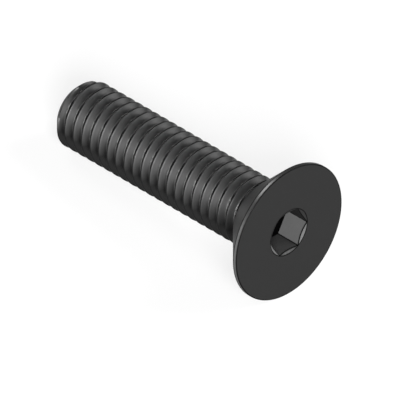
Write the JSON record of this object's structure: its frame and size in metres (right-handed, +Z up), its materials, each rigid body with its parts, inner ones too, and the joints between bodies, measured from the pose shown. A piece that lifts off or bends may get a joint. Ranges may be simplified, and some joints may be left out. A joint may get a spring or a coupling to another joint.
{
  "type": "countersunk socket screw",
  "caption": "Flat-headed countersunk screw with a hexagon socket, a right-hand thread up to the head and a chamfered tip, lying on its side.",
  "frame": {"origin": "on the ground, under the middle of the lying screw's box", "axes": "+X is the way the head's flat face looks, 7.5 degrees off the level; +Z is up; the socket's two level flats run along Y"},
  "size_m": [0.0208, 0.01, 0.0099],
  "materials": {
    "dark_steel": "dark oxide over rolled and turned steel, satin"
  },
  "bodies": {
    "root": {"screw": "dark_steel"}
  },
  "joints": []
}
